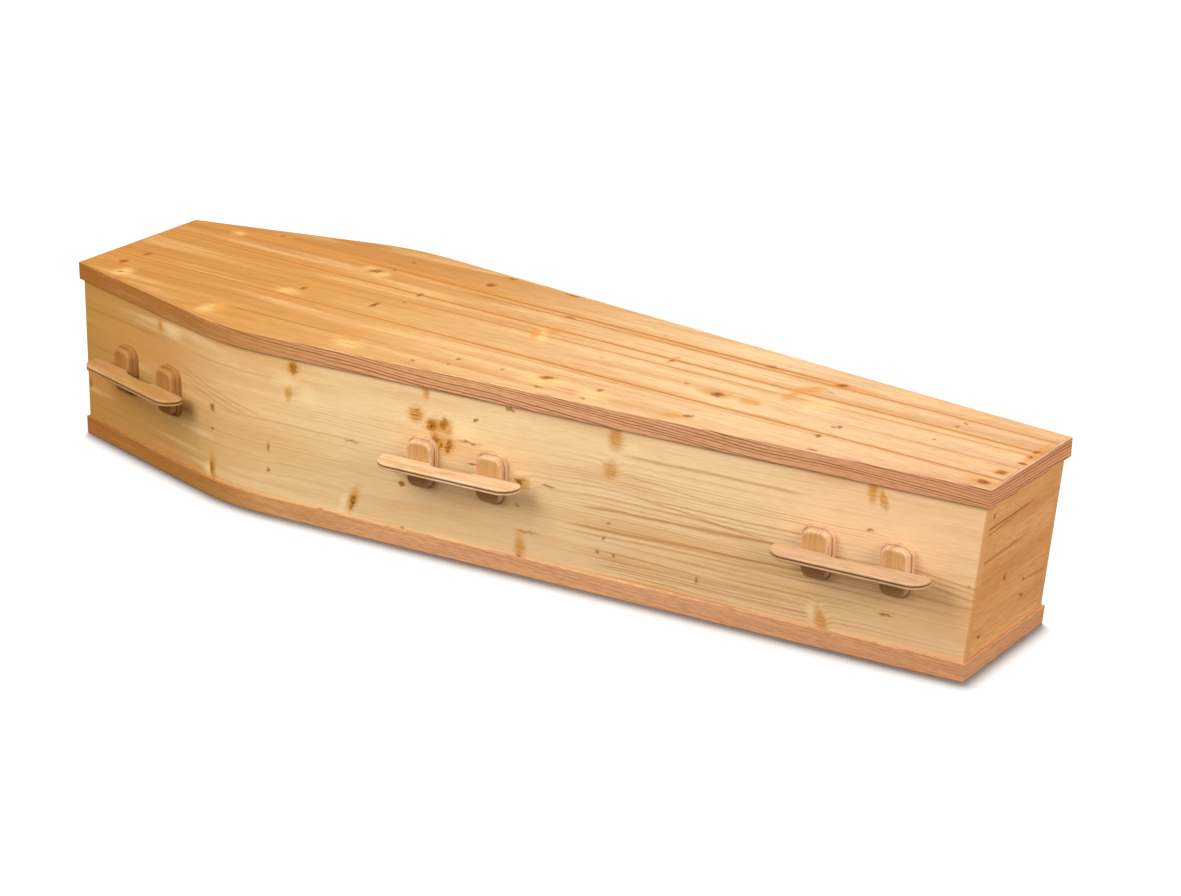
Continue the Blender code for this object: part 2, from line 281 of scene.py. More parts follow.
def make_laths(prefix, node, inner, outer, low, high, head_faces, foot_faces, material):
    """Laths round the body, mitred at the corners, with softened arrises.

    head_faces and foot_faces give, for a height, the x of the lath's inner and outer face across that end.
    """
    section = softened_square(LATH_ARRIS / (outer - inner), LATH_ARRIS / (high - low))
    corners = ((outer, 1, low), (inner, 0, low), (inner, 0, high), (outer, 1, high))
    rails = [along_bend(head_station(head_faces(z)[face], n), foot_station(foot_faces(z)[face], n), n, z)
             for n, face, z in corners]
    flat = ruled(rails, section)
    for name, side in (("right", -1), ("left", 1)):
        grid_piece(f"{prefix}_{name}", bend(flat, side), straightened_grain(flat, side), material,
                   f"{node}_{name}")
    for name, faces_at, station, own_plank in (("head", head_faces, head_station, 4.0),
                                               ("foot", foot_faces, foot_station, 3.0)):
        rails = []
        for n, face, z in corners:
            x = faces_at(z)[face]
            half = bend(np.array([station(x, n), n, z]), 1)[1] - VISIBLE_JOINT
            y = np.linspace(-half, half, 12)
            rails.append(np.stack([np.full_like(y, x), y, np.full_like(y, z)], -1))
        points = ruled(rails, section)
        grain = points[..., [1, 2, 0]] + np.array([own_plank, 0, 0])
        grid_piece(f"{prefix}_{name}", points, grain, material, f"{node}_{name}")


def make_ends(material):
    """The end boards between the sides, the foot one leaning outwards to its top."""
    n = -BOARD - VISIBLE_JOINT
    rake = math.atan(FOOT_RAKE / WALL_HEIGHT)
    beside_edge, off_edge = 0.0008, 0.01
    section = softened_square(BOARD_ARRIS / BOARD, BOARD_ARRIS / WALL_HEIGHT)
    for name, outer, inner, station, own_plank in (
            ("head", lambda z: HEAD_X, lambda z: HEAD_X + BOARD, head_station, 1.0),
            ("foot", foot_plane, lambda z: foot_plane(z) - BOARD / math.cos(rake), foot_station, 0.0)):
        rails = []
        for face, z in ((outer, WALL_LOW), (inner, WALL_LOW), (inner, WALL_TOP), (outer, WALL_TOP)):
            half = bend(np.array([station(face(z), n), n, z]), 1)[1]
            between = np.linspace(-half + off_edge, half - off_edge, 8)
            y = np.concatenate([[-half, -half + beside_edge], between, [half - beside_edge, half]])
            rails.append(np.stack([np.full_like(y, face(z)), y, np.full_like(y, z)], -1))
        points = ruled(rails, section)
        grain = points[..., [1, 2, 0]] + np.array([own_plank, 0, 0])
        grid_piece(f"planed_end_{name}", points, grain, material, f"{name}_board")


def block_grid():
    """Grid of a moulded block: its rounded outline, inset and raised level by level.

    The levels go up the back plate, in over its small arris to the raised body, up the body's side and round
    a quarter ellipse to the flat field. Returned as along the wall, outwards and up.
    """
    turn = np.linspace(0, math.pi / 2, 7)
    crown = np.stack([BLOCK_STEP + BLOCK_ROUND_WIDTH * (1 - np.cos(turn)),
                      BLOCK_DEPTH - BLOCK_ROUND_DROP * (1 - np.sin(turn))], -1)
    field = np.array([(BLOCK_STEP + BLOCK_ROUND_WIDTH + 0.0006, BLOCK_DEPTH)])
    levels = np.concatenate([BLOCK_LEVELS, crown, field])
    inset, depth = levels[:, :1], levels[:, 1:]
    radius = np.maximum(BLOCK_CORNER_RADIUS - inset, 0.001)
    columns = []
    for sx, sz, first in ((1, 1, 0), (-1, 1, 90), (-1, -1, 180), (1, -1, 270)):
        angle = np.radians(first + np.linspace(0, 90, 9))[None, :]
        x = sx * (BLOCK_WIDTH / 2 - inset - radius) + radius * np.cos(angle)
        z = sz * (BLOCK_HEIGHT / 2 - inset - radius) + radius * np.sin(angle) + BLOCK_HEIGHT / 2
        columns.append(np.stack([x, np.broadcast_to(depth, x.shape), z], -1))
    return np.concatenate(columns, 1)


def bar_plan(inset):
    """Outline of the bar for each inset: along the wall, and outwards from its back edge.

    Two front quarter circles, two smaller back ones, and between them the back edge with its finger scoop,
    whose depth is the root of 1 minus the fourth power of the share of the way to its end.
    """
    half = BAR_LENGTH / 2
    scoop_half = (BLOCK_SPACING - BLOCK_WIDTH) / 2 + BLOCK_STEP
    front = np.radians(np.linspace(90, 0, 15))[None, :]
    back = np.radians(np.linspace(0, -90, 9))[None, :]
    front_radius = BAR_FRONT_RADIUS - inset
    back_radius = BAR_BACK_RADIUS - inset
    right = np.concatenate([
        np.stack([half - BAR_FRONT_RADIUS + front_radius * np.cos(front),
                  BAR_DEPTH - BAR_FRONT_RADIUS + front_radius * np.sin(front)], -1),
        np.stack([half - BAR_BACK_RADIUS + back_radius * np.cos(back),
                  BAR_BACK_RADIUS + back_radius * np.sin(back)], -1)], 1)
    along = np.sin(np.linspace(1, -1, 25) * math.pi / 2)[None, :]
    depth = BAR_SCOOP * np.sqrt(np.clip(1 - along ** 4, 0, 1))
    scoop = np.stack([along * (scoop_half - inset), depth + inset], -1)
    left = right[:, ::-1] * np.array([-1, 1])
    return np.concatenate([right, scoop, left], 1)


def bar_grid():
    """Grid of the bar: its outline inset level by level, from the underside up over the grooved edge.

    The edge has a rounded lower and upper arris, and a round-bottomed groove half way up between two ridges.
    """
    half = BAR_THICKNESS / 2
    turn = np.linspace(0, math.pi / 2, 5)
    low = np.stack([BAR_ARRIS * (1 - np.sin(turn)), -half + BAR_ARRIS * (1 - np.cos(turn))], -1)
    edge = np.concatenate([[(BAR_ARRIS + 0.0008, -half)], low, BAR_GROOVE])
    edge = np.concatenate([edge, (edge * np.array([1, -1]))[-2::-1]])
    plan = bar_plan(edge[:, :1])
    height = np.broadcast_to((BAR_MIDDLE + edge[:, 1])[:, None, None], plan.shape[:2] + (1,))
    return np.concatenate([plan[..., :1], plan[..., 1:] + BLOCK_DEPTH + GAP, height], -1)


def make_handles(of_bar, of_block):
    """Three handles a side. A local point goes along the wall, out from it and up from the blocks' bottoms.

    Each piece has its own place in the plank that its grain comes from.
    """
    block = block_grid()
    bar = bar_grid()
    for side_name, side in (("right", -1), ("left", 1)):
        for number, (stretch, distance) in enumerate(HANDLE_STATIONS, 1):
            corner, way, out = {"head": (HEAD_CORNER, HEAD_STRETCH, HEAD_OUT),
                                "foot": (SHOULDER_CORNER, FOOT_STRETCH, FOOT_OUT)}[stretch]
            seat = corner + way * distance
            name = f"handle_{side_name}_{number}"
            pieces = [("bar", bar, 0, [0, 1, 2], of_bar)]
            pieces += [(f"block_{end}", block, sign * BLOCK_SPACING / 2, [2, 0, 1], of_block)
                       for end, sign in (("head", -1), ("foot", 1))]
            for count, (kind, local, shift, order, material) in enumerate(pieces):
                local = local + np.array([shift, 0, 0])
                plan = seat + local[..., :1] * way + local[..., 1:2] * out
                height = local[..., 2:] + HANDLE_RISE
                points = np.concatenate([plan[..., :1], side * plan[..., 1:], height], -1)
                own_plank = [0.61 * number + 2.3 * count, 0.37 * number + 0.83 * count + 0.2 * side, 0]
                grain = (local - np.array([shift, 0, 0]))[..., order] + np.array(own_plank)
                grid_piece(f"moulded_{name}_{kind}", points, grain, material,
                           f"{name}_{kind}")


def linear(code):
    """A linear colour from an sRGB hex code."""
    channels = [int(code[i:i + 2], 16) / 255 for i in (1, 3, 5)]
    return (*(c / 12.92 if c <= 0.04045 else ((c + 0.055) / 1.055) ** 2.4 for c in channels), 1.0)


def add(tree, kind, inputs=None, stops=None, **settings):
    """Adds one node, applies its settings, and sets or links its inputs. Returns its outputs."""
    made = tree.nodes.new(kind)
    for key, value in settings.items():
        setattr(made, key, value)
    for key, value in (inputs or {}).items():
        if isinstance(value, bpy.types.NodeSocket):
            tree.links.new(value, made.inputs[key])
        else:
            made.inputs[key].default_value = value
    if stops:
        ramp = made.color_ramp
        while len(ramp.elements) < len(stops):
            ramp.elements.new(0.5)
        for element, (place, code) in zip(ramp.elements, stops):
            element.position = place
            element.color = linear(code)
    return made.outputs


MATH = "ShaderNodeMath"
RANGE = "ShaderNodeMapRange"
VECTOR = "ShaderNodeVectorMath"
NOISE = "ShaderNodeTexNoise"
SPLIT = "ShaderNodeSeparateXYZ"
JOIN = "ShaderNodeCombineXYZ"
RAMP = "ShaderNodeValToRGB"
SMOOTH = {"interpolation_type": "SMOOTHSTEP"}


def new_material(name):
    """A material with an emptied node tree, and that tree."""
    material = bpy.data.materials.new(name)
    material.use_nodes = True
    material.node_tree.nodes.clear()
    return material, material.node_tree


def new_wood(name, wander, waver, has_grain=True):
    """A new material, and where a point of it lies in its plank.

    grain is the place in the plank and parts is that place split in three. along is the part along the grain,
    and across is the part across it with the rings' stray added: up to wander metres over half a metre of
    length, and up to waver within a finger's width. A flat board has no grain attribute and takes Object.
    """
    material, tree = new_material(name)
    grain = (add(tree, "ShaderNodeAttribute", attribute_name="grain")["Vector"] if has_grain
             else add(tree, "ShaderNodeTexCoord")["Object"])
    parts = add(tree, SPLIT, {0: grain})
    across = parts[1]
    for scale, detail, most in (((2.2, 8.0, 8.0), 3.0, wander), ((40.0, 180.0, 180.0), 2.0, waver)):
        view = add(tree, VECTOR, {0: grain, 1: scale}, operation="MULTIPLY")[0]
        noise = add(tree, NOISE, {"Vector": view, "Scale": 1.0, "Detail": detail})[0]
        stray = add(tree, RANGE, {0: noise, 1: 0.2, 2: 0.8, 3: -most, 4: most}, clamp=False)[0]
        across = add(tree, MATH, {0: across, 1: stray}, operation="ADD")[0]
    return SimpleNamespace(material=material, tree=tree, grain=grain, parts=parts, along=parts[0],
                           across=across)


def coffin_place(tree):
    """A point's x and z in the coffin, and how far along the lid it is: 0 at the head, 1 at the foot."""
    parts = add(tree, SPLIT, {0: add(tree, "ShaderNodeTexCoord")["Object"]})
    return parts[0], parts[2], add(tree, RANGE, {0: parts[0], 1: -LID_HALF, 2: LID_HALF})[0]


def rough_place(wood):
    """A point's flat place in its plank, moved by millimetres of noise for the uneven edges of patches."""
    tree = wood.tree
    most = 0.006
    uneven = add(tree, NOISE, {"Vector": wood.grain, "Scale": 120.0, "Detail": 2.0})[1]
    uneven = add(tree, VECTOR, {0: uneven, 1: (2 * most, 2 * most, 0.0), 2: (-most, -most, 0.0)},
                 operation="MULTIPLY_ADD")[0]
    flat = add(tree, VECTOR, {0: wood.grain, 1: (1.0, 1.0, 0.0)}, operation="MULTIPLY")[0]
    return add(tree, VECTOR, {0: flat, 1: uneven}, operation="ADD")[0]


def streaks(wood, length, width, seed, low, high):
    """Noise drawn out along the grain, length by width in metres, as 0 below low and 1 above high."""
    tree = wood.tree
    view = add(tree, JOIN, {0: add(tree, MATH, {0: wood.along, 1: 1 / length}, operation="MULTIPLY")[0],
                            1: add(tree, MATH, {0: wood.across, 1: 1 / width}, operation="MULTIPLY")[0],
                            2: seed})[0]
    noise = add(tree, NOISE, {"Vector": view, "Scale": 1.0, "Detail": 2.0, "Roughness": 0.5})[0]
    return add(tree, RANGE, {0: noise, 1: low, 2: high}, **SMOOTH)[0]


def growth_rings(wood, across, spacing, stray, seed, reach, faint=0.36, full=0.66):
    """Growth rings as a saw-tooth: the wood darkens across each ring to its summer's end, then is pale again.

    A noise of across moves the rings by up to about stray metres, which varies their spacing. Each has its
    own darkness from a noise that turns over in reach metres of length, none at faint and all at full.
    """
    tree = wood.tree
    darkest, swings = 0.88, 26.0
    view = add(tree, JOIN, {0: add(tree, MATH, {0: wood.along, 1: 0.5}, operation="MULTIPLY")[0],
                            1: add(tree, MATH, {0: across, 1: swings}, operation="MULTIPLY")[0], 2: seed})[0]
    uneven = add(tree, NOISE, {"Vector": view, "Scale": 1.0, "Detail": 1.0})[0]
    turns = add(tree, MATH, {0: uneven, 1: 2 * stray / spacing, 2: seed}, operation="MULTIPLY_ADD")[0]
    turns = add(tree, MATH, {0: across, 1: 1 / spacing, 2: turns}, operation="MULTIPLY_ADD")[0]
    tooth = add(tree, MATH, {0: turns}, operation="FRACT")[0]
    rise = add(tree, RANGE, {0: tooth, 1: 0.35, 2: darkest}, **SMOOTH)[0]
    fall = add(tree, RANGE, {0: tooth, 1: 1.0, 2: darkest}, **SMOOTH)[0]
    ring = add(tree, MATH, {0: rise, 1: fall}, operation="MINIMUM")[0]
    length = add(tree, MATH, {0: wood.along, 1: 1 / reach}, operation="MULTIPLY")[0]
    number = add(tree, MATH, {0: turns}, operation="FLOOR")[0]
    number = add(tree, MATH, {0: number, 1: 5.37}, operation="MULTIPLY")[0]
    own = add(tree, JOIN, {0: length, 1: number, 2: seed})[0]
    own = add(tree, NOISE, {"Vector": own, "Scale": 1.0, "Detail": 1.0})[0]
    own = add(tree, RANGE, {0: own, 1: faint, 2: full})[0]
    return add(tree, MATH, {0: ring, 1: own}, operation="MULTIPLY")[0]


def latewood_lines(wood, lines):
    """Darkness of several latewood lines, the largest wherever they meet.

    A line is (start, slope, above, below, strength), and may have reach. It is full where across is start
    plus slope times along, and falls off smoothly within above on its upper side and below on its lower side.
    reach gives where along the plank it begins and ends, with a fade of 60 mm about each.
    """
    tree = wood.tree
    half_fade = 0.03
    darkest = None
    for start, slope, above, below, strength, *reach in lines:
        middle = add(tree, MATH, {0: wood.along, 1: slope, 2: start}, operation="MULTIPLY_ADD")[0]
        away = add(tree, MATH, {0: wood.across, 1: middle}, operation="SUBTRACT")[0]
        upper = add(tree, RANGE, {0: away, 1: above, 2: 0.0, 3: 0.0, 4: strength}, **SMOOTH)[0]
        lower = add(tree, RANGE, {0: away, 1: -below, 2: 0.0, 3: 0.0, 4: strength}, **SMOOTH)[0]
        line = add(tree, MATH, {0: upper, 1: lower}, operation="MINIMUM")[0]
        if reach:
            for end, inwards in zip(reach[0], (half_fade, -half_fade)):
                shown = add(tree, RANGE, {0: wood.along, 1: end - inwards, 2: end + inwards}, **SMOOTH)[0]
                line = add(tree, MATH, {0: line, 1: shown}, operation="MULTIPLY")[0]
        darkest = (line if darkest is None
                   else add(tree, MATH, {0: darkest, 1: line}, operation="MAXIMUM")[0])
    return darkest


def nearest_patch(tree, place, patches):
    """Distance from place to the nearest of several ellipses, as a share of its radius.

    A patch is (along, across, half length, half width, turn in degrees). The place and the centre are turned
    back by its turn, their difference is divided by the half sizes, and the length of that is 1 on the edge.
    """
    turned_places = {0: place}
    nearest = None
    for along, across, half_length, half_width, turn in patches:
        if turn not in turned_places:
            turned_places[turn] = add(tree, "ShaderNodeVectorRotate",
                                      {"Vector": place, "Angle": math.radians(-turn)},
                                      rotation_type="Z_AXIS")[0]
        cosine, sine = math.cos(math.radians(turn)), math.sin(math.radians(turn))
        size = (half_length, half_width, 1)
        centre = (along * cosine + across * sine, across * cosine - along * sine, 0)
        local = add(tree, VECTOR, {0: turned_places[turn], 1: [1 / s for s in size],
                                   2: [-c / s for c, s in zip(centre, size)]}, operation="MULTIPLY_ADD")[0]
        share = add(tree, VECTOR, {0: local}, operation="LENGTH")["Value"]
        nearest = (share if nearest is None
                   else add(tree, MATH, {0: nearest, 1: share}, operation="MINIMUM")[0])
    return nearest


def patch_share(tree, place, patches, edge, core):
    """Share of several patches: 0 from edge radii outwards, rising smoothly to 1 at core radii."""
    return add(tree, RANGE, {0: nearest_patch(tree, place, patches), 1: edge, 2: core}, **SMOOTH)[0]


def knot_layers(tree, place, knot, wood, rim, heart):
    """Layers of a knot: redder wood with an uneven edge, broken pieces of dark bark line, and a dark heart.

    knot is the distance from the nearest one, as a share of its radius.
    """
    patchy = add(tree, NOISE, {"Vector": place, "Scale": 260.0, "Detail": 2.0})[0]
    loose = add(tree, MATH, {0: patchy, 1: 1.1, 2: -0.55}, operation="MULTIPLY_ADD")[0]
    loose = add(tree, MATH, {0: knot, 1: loose}, operation="ADD")[0]
    whole = add(tree, RANGE, {0: loose, 1: 1.7, 2: 0.7}, **SMOOTH)[0]
    from_rim = add(tree, MATH, {0: loose, 1: 0.85}, operation="SUBTRACT")[0]
    from_rim = add(tree, MATH, {0: from_rim}, operation="ABSOLUTE")[0]
    at_rim = add(tree, RANGE, {0: from_rim, 1: 0.40, 2: 0.05}, **SMOOTH)[0]
    broken = add(tree, RANGE, {0: patchy, 1: 0.40, 2: 0.62})[0]
    middle = add(tree, RANGE, {0: loose, 1: 0.60, 2: 0.10}, **SMOOTH)[0]
    return [(wood, 0.80, whole), (rim, 0.75, broken, at_rim), (heart, 0.85, middle)]


def stained(tree, base, layers):
    """The wood's colour: base, with each layer laid over it in turn, by its most times its shares."""
    for colour, most, share, *more in layers:
        for factor in (*more, most):
            share = add(tree, MATH, {0: share, 1: factor}, operation="MULTIPLY")[0]
        colour = linear(colour) if isinstance(colour, str) else colour
        base = add(tree, "ShaderNodeMix", {"Factor": share, 6: base, 7: colour}, data_type="RGBA")[2]
    return base


def varnished(wood, colour, fibre, roughness, specular, coat):
    """Satin varnish over planed wood: the fibre still shows as a slight relief and an uneven sheen."""
    tree = wood.tree
    rough = add(tree, RANGE, {0: fibre, 1: 0.0, 2: 1.0, 3: roughness, 4: roughness + 0.08})[0]
    relief = add(tree, "ShaderNodeBump", {"Strength": 0.25, "Distance": 0.0003, "Height": fibre},
                 invert=True)[0]
    shader = add(tree, "ShaderNodeBsdfPrincipled", {
        "Base Color": colour, "Roughness": rough, "Normal": relief, "IOR": 1.5,
        "Specular IOR Level": specular, "Coat Weight": coat, "Coat Roughness": 0.28, "Coat IOR": 1.4})[0]
    add(tree, "ShaderNodeOutputMaterial", {0: shader})
    return wood.material


# Patches as (along, across, half length, half width, turn), in metres and degrees
LID_KNOTS = (
    (-0.903, -0.053, 0.0055, 0.008, 0), (-0.91, -0.113, 0.0085, 0.0095, 20),
    (-0.488, 0.131, 0.011, 0.0075, 30), (-0.336, 0.07, 0.0035, 0.009, 0), (-0.369, -0.026, 0.0045, 0.013, 0),
    (-0.264, 0.196, 0.0085, 0.009, 20), (-0.254, 0.252, 0.008, 0.004, 0), (-0.105, 0.24, 0.018, 0.003, 0),
    (0.236, 0.053, 0.003, 0.006, 0), (0.11, -0.151, 0.009, 0.006, 20), (0.218, -0.148, 0.0055, 0.005, 0),
    (0.395, 0.132, 0.011, 0.0055, 0), (0.543, 0.125, 0.0095, 0.007, 20), (0.391, -0.043, 0.01, 0.01, 0),
    (0.639, -0.05, 0.005, 0.005, 0), (0.63, -0.107, 0.005, 0.005, 0), (0.406, -0.16, 0.008, 0.006, 20),
    (0.952, -0.068, 0.0075, 0.0075, 0), (0.947, -0.122, 0.01, 0.0075, 0), (0.958, 0.046, 0.006, 0.005, 30),
    (0.96, 0.02, 0.004, 0.006, 20), (0.963, -0.013, 0.007, 0.005, 0))
LID_FAINT = (
    (-0.872, -0.165, 0.006, 0.004, 30), (-0.768, 0.194, 0.007, 0.005, 20), (-0.46, 0.213, 0.004, 0.006, 0),
    (-0.463, 0.157, 0.004, 0.006, 0), (-0.334, 0.018, 0.004, 0.005, 0), (-0.533, -0.03, 0.006, 0.012, 0),
    (-0.04, 0.135, 0.01, 0.005, 0), (-0.069, -0.168, 0.004, 0.005, 0), (0.022, -0.162, 0.004, 0.004, 0),
    (-0.131, -0.222, 0.004, 0.004, 0), (0.121, -0.197, 0.012, 0.004, 0), (0.217, -0.197, 0.007, 0.004, 0),
    (0.32, -0.027, 0.005, 0.004, 0), (0.545, 0.083, 0.008, 0.003, 0), (0.63, -0.057, 0.005, 0.004, 0),
    (0.802, 0.093, 0.004, 0.003, 0), (0.797, 0.072, 0.004, 0.005, 0), (0.793, -0.005, 0.003, 0.003, 0),
    (-0.068, -0.2, 0.005, 0.003, 0), (0.13, -0.01, 0.004, 0.003, 0), (0.655, -0.167, 0.008, 0.004, 0))
LID_AMBER = (
    (-0.91, -0.113, 0.016, 0.014, 20), (-0.533, -0.012, 0.01, 0.034, 0), (-0.58, -0.213, 0.02, 0.018, 0),
    (-0.303, -0.16, 0.012, 0.028, -30), (-0.288, -0.202, 0.022, 0.006, 20), (-0.019, 0.057, 0.013, 0.022, 0),
    (0.385, -0.04, 0.036, 0.018, 0), (0.382, -0.172, 0.024, 0.014, 20), (0.508, 0.072, 0.018, 0.036, -30),
    (0.497, 0.028, 0.01, 0.026, 0), (0.455, -0.04, 0.024, 0.014, 0), (0.94, -0.122, 0.026, 0.012, 0),
    (0.952, -0.068, 0.014, 0.014, 0), (0.543, 0.118, 0.024, 0.014, 20), (-0.768, 0.194, 0.026, 0.01, 0),
    (0.11, -0.151, 0.018, 0.012, 20), (-0.038, 0.022, 0.01, 0.022, 30), (0.962, 0.035, 0.01, 0.06, 0),
    (0.236, 0.06, 0.006, 0.022, 0), (-0.264, 0.196, 0.014, 0.016, 0))
LID_PALE = (
    (-0.868, -0.16, 0.02, 0.024, 0), (-0.848, 0.152, 0.016, 0.014, 0), (-0.505, 0.136, 0.02, 0.016, 0),
    (-0.466, 0.12, 0.02, 0.018, 0), (-0.6, -0.222, 0.022, 0.03, 0), (-0.278, -0.224, 0.034, 0.02, 0),
    (-0.02, 0.02, 0.012, 0.04, 30), (0.11, -0.172, 0.04, 0.022, 0), (-0.545, -0.06, 0.03, 0.014, 0),
    (0.225, -0.172, 0.03, 0.03, 0), (0.56, 0.01, 0.03, 0.03, 0))
# Lid tones from head to foot: partly the wood's own tone, partly painted shade at the head and painted sheen
# at the foot
LID_TONES = ((0.0, "#B97D2E"), (0.25, "#C48E44"), (0.45, "#D0A46B"), (0.7, "#DDBA89"), (1.0, "#D1A97F"))
LID_BANDS = (
    (0.065, -0.0185, 0.011, 0.015, 0.75), (0.145, -0.034, 0.012, 0.017, 0.95, (-0.56, 0.62)),
    (0.129, -0.026, 0.01, 0.012, 0.65, (0.1, 0.98)), (0.165, -0.004, 0.018, 0.022, 0.8, (-0.98, -0.22)),
    (-0.086, -0.0125, 0.009, 0.013, 0.75), (0.025, 0.003, 0.01, 0.011, 0.4))
LID_LINES = (
    (0.065, -0.0185, 0.003, 0.0062, 0.95), (0.025, 0.003, 0.0035, 0.005, 0.6),
    (0.146, -0.034, 0.004, 0.008, 0.85, (-0.56, 0.52)), (0.129, -0.026, 0.004, 0.006, 0.75, (-0.25, 0.98)),
    (0.165, -0.004, 0.006, 0.01, 0.4, (-0.98, -0.22)), (-0.086, -0.0125, 0.0028, 0.0056, 0.95),
    (-0.04, 0.002, 0.003, 0.0045, 0.6, (-0.97, -0.58)), (-0.06, 0.0, 0.003, 0.004, 0.5, (-0.78, -0.55)),
    (-0.1, -0.012, 0.003, 0.0045, 0.5, (-0.15, 0.62)), (-0.134, -0.002, 0.003, 0.0045, 0.5, (-0.97, -0.55)),
    (-0.191, 0.001, 0.0035, 0.006, 0.8, (-0.58, -0.33)), (-0.199, 0.0, 0.003, 0.0045, 0.45, (-0.26, 0.04)),
    (0.196, 0.0, 0.0035, 0.0045, 0.5, (-0.76, -0.62)), (-0.03, -0.006, 0.0035, 0.005, 0.35, (0.4, 0.98)))


def lid_pine():
    """Planed pine staves glued edge to edge, with satin varnish.

    Pine gives the eye pale straw earlywood, thin orange latewood lines that run the whole length, and small
    dark knots with amber round them. It is warmer and darker towards the head, partly the wood's own tone and
    partly painted shade, and paler towards the foot, partly painted sheen. The far half near the head is
    darker still, with painted shade.
    """
    wood = new_wood("planed_pine_lid", 0.0035, 0.001, has_grain=False)
    tree = wood.tree
    tone = coffin_place(tree)[2]
    rough = rough_place(wood)
    knot = nearest_patch(tree, rough, LID_KNOTS)
    by_knot = add(tree, RANGE, {0: knot, 1: 5.0, 2: 0.5}, **SMOOTH)[0]
    bent = add(tree, MATH, {0: by_knot, 1: 0.011, 2: wood.across}, operation="MULTIPLY_ADD")[0]
    # Painted shade: the far half of the lid near the head is darkened
    far = add(tree, RANGE, {0: wood.across, 1: 0.0, 2: 0.26}, **SMOOTH)[0]
    far_head_shade = add(tree, RANGE, {0: wood.along, 1: 0.25, 2: -0.55}, **SMOOTH)[0]
    at_head = add(tree, RANGE, {0: wood.along, 1: 0.20, 2: -0.60}, **SMOOTH)[0]
    fibre = streaks(wood, 0.035, 0.0028, 1.7, 0.35, 0.70)
    streaky = add(tree, RANGE, {0: fibre, 1: 0.0, 2: 0.8, 3: 0.75, 4: 1.0})[0]
    shimmer = add(tree, RANGE, {0: fibre, 1: 0.0, 2: 0.9, 3: 1.0, 4: 0.25})[0]
    colour = stained(tree, add(tree, RAMP, {0: tone}, stops=LID_TONES)[0], [
        ("#A86E28", 0.62, far_head_shade, far),
        ("#B87634", 0.46, streaks(wood, 0.45, 0.026, 3.1, 0.42, 0.72)),
        ("#8A5018", 0.17, streaks(wood, 0.30, 0.017, 12.4, 0.42, 0.68), at_head),
        ("#EFC78C", 0.40, streaks(wood, 0.40, 0.030, 8.6, 0.50, 0.75)),
        ("#BA7835", 0.38, growth_rings(wood, bent, 0.0085, 0.013, 4.3, 0.45)),
        ("#A8682A", 0.28, fibre),
        ("#CE8A38", 0.85, latewood_lines(wood, LID_BANDS)),
        ("#9E5C18", 0.85, latewood_lines(wood, LID_LINES)),
        ("#F0CA80", 0.60, patch_share(tree, rough, LID_PALE, 1.5, 0.2), shimmer),
        ("#C98430", 0.85, patch_share(tree, rough, LID_AMBER, 1.5, 0.3), streaky),
        ("#8C5218", 0.85, patch_share(tree, rough, LID_FAINT, 1.5, 0.3)),
        *knot_layers(tree, rough, knot, "#A05A12", "#74400A", "#5A2C04")])
    return varnished(wood, colour, fibre, 0.42, 0.20, 0.05)


SIDE_KNOTS = (
    (0.422, 0.177, 0.006, 0.006, 0), (0.908, 0.245, 0.0085, 0.009, 0), (0.934, 0.254, 0.0065, 0.01, -20),
    (0.917, 0.221, 0.007, 0.006, 0), (0.9275, 0.212, 0.003, 0.006, -20), (0.943, 0.213, 0.005, 0.012, -20),
    (0.998, 0.273, 0.005, 0.003, 0), (1.088, 0.177, 0.007, 0.005, 0), (0.846, 0.122, 0.005, 0.004, 0),
    (0.009, 0.103, 0.004, 0.008, 0), (0.617, 0.297, 0.007, 0.009, 0), (0.741, 0.062, 0.004, 0.014, -20))
SIDE_FAINT = (
    (1.085, 0.131, 0.006, 0.003, 0), (1.146, 0.18, 0.014, 0.0025, 0), (1.265, 0.137, 0.004, 0.003, 0),
    (1.257, 0.107, 0.004, 0.003, 0), (1.245, 0.078, 0.004, 0.004, 0), (1.276, 0.079, 0.003, 0.004, 0),
    (0.992, 0.19, 0.01, 0.0025, 0), (0.741, 0.18, 0.014, 0.002, 0), (0.847, 0.036, 0.005, 0.003, 0),
    (0.559, 0.132, 0.003, 0.009, 0), (0.558, 0.088, 0.004, 0.004, 0), (1.068, 0.308, 0.009, 0.004, -20),
    (1.438, 0.068, 0.004, 0.006, 0), (1.754, 0.232, 0.006, 0.003, 0), (1.79, 0.087, 0.012, 0.0025, 0),
    (1.089, 0.036, 0.004, 0.004, 0), (1.932, 0.172, 0.002, 0.002, 0), (0.672, 0.033, 0.005, 0.003, 0),
    (0.415, 0.056, 0.005, 0.014, 0), (0.874, 0.27, 0.012, 0.0014, 0), (0.878, 0.264, 0.012, 0.0014, 0),
    (0.876, 0.258, 0.011, 0.0014, 0), (0.877, 0.252, 0.01, 0.0013, 0), (0.614, 0.302, 0.003, 0.01, -20),
    (0.985, 0.228, 0.022, 0.0025, 0), (0.42, 0.135, 0.004, 0.004, 0))
